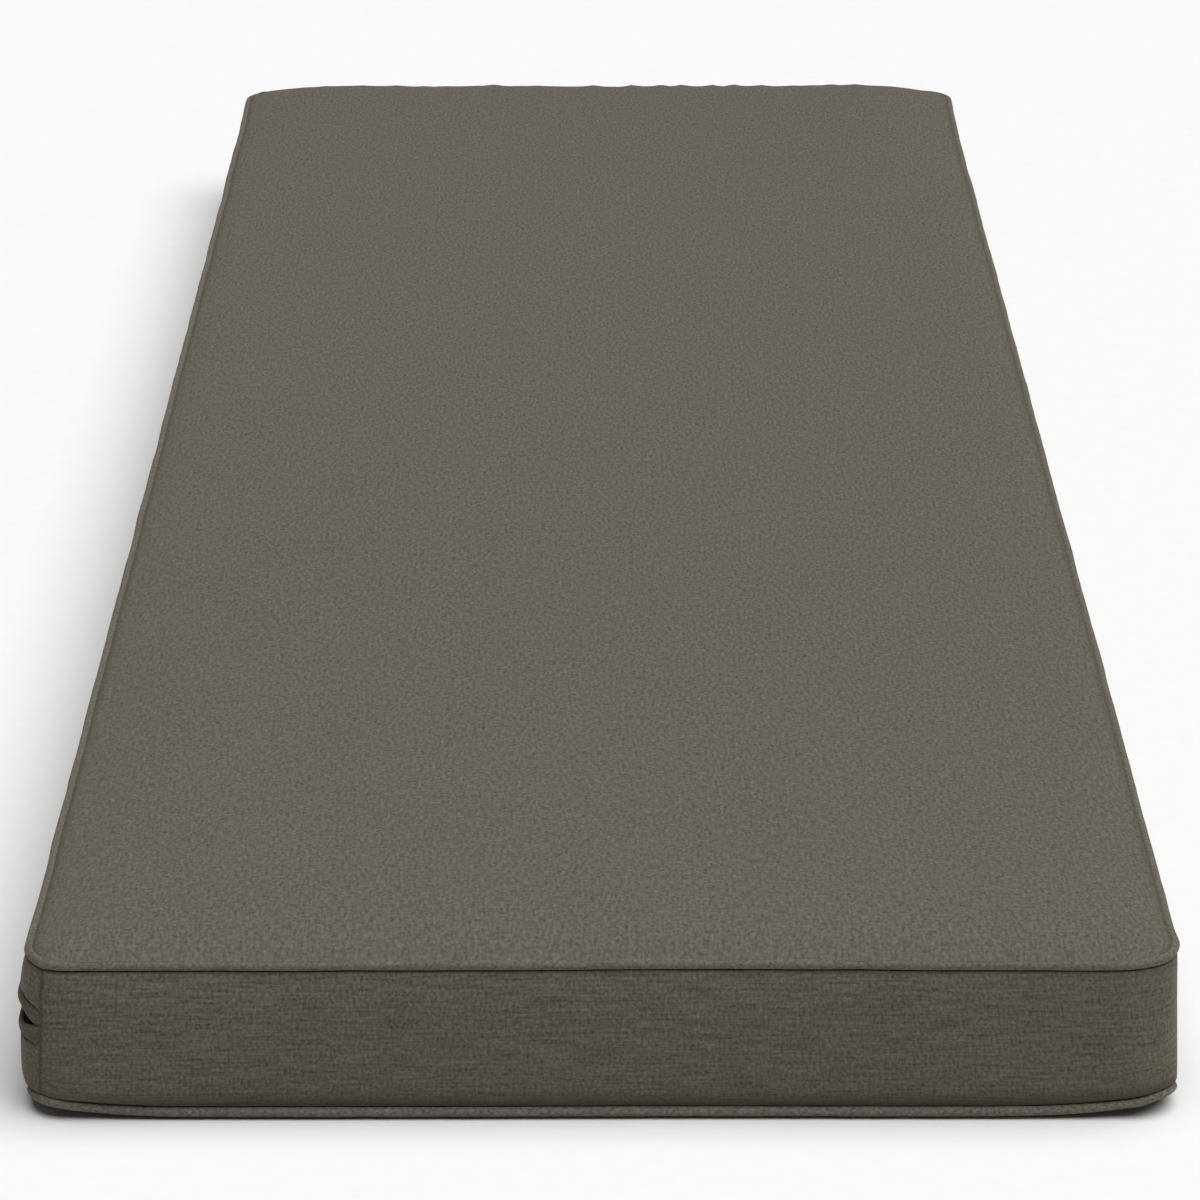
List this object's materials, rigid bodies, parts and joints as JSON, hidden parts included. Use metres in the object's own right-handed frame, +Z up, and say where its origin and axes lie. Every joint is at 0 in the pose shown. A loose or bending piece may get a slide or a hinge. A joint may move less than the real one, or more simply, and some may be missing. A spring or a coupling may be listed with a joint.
{
  "type": "piped box bench cushion",
  "caption": "Long flat box cushion for a bench in grey-taupe woven cloth, with a crowned top, full boxing, piping along its seams and a lapped zip placket down one long side.",
  "frame": {"origin": "centre of the underside, on the surface that the cushion lies on", "axes": "+Z up, out of the top panel; the length runs along Y, with the pictured short end at -Y and the zip placket on the -X side"},
  "size_m": [0.6188, 1.837, 0.1037],
  "materials": {
    "body_fabric": "matt plain weave with slubs, in a grey-taupe melange",
    "piping_fabric": "the same cloth cut on the bias and drawn tight round a cord",
    "placket_fabric": "the same cloth folded double along the zip"
  },
  "bodies": {
    "root": {"cushion_body": "body_fabric", "top_piping": "piping_fabric", "bottom_piping": "piping_fabric", "zip_lip_upper": "placket_fabric", "zip_lip_lower": "placket_fabric"}
  },
  "joints": []
}
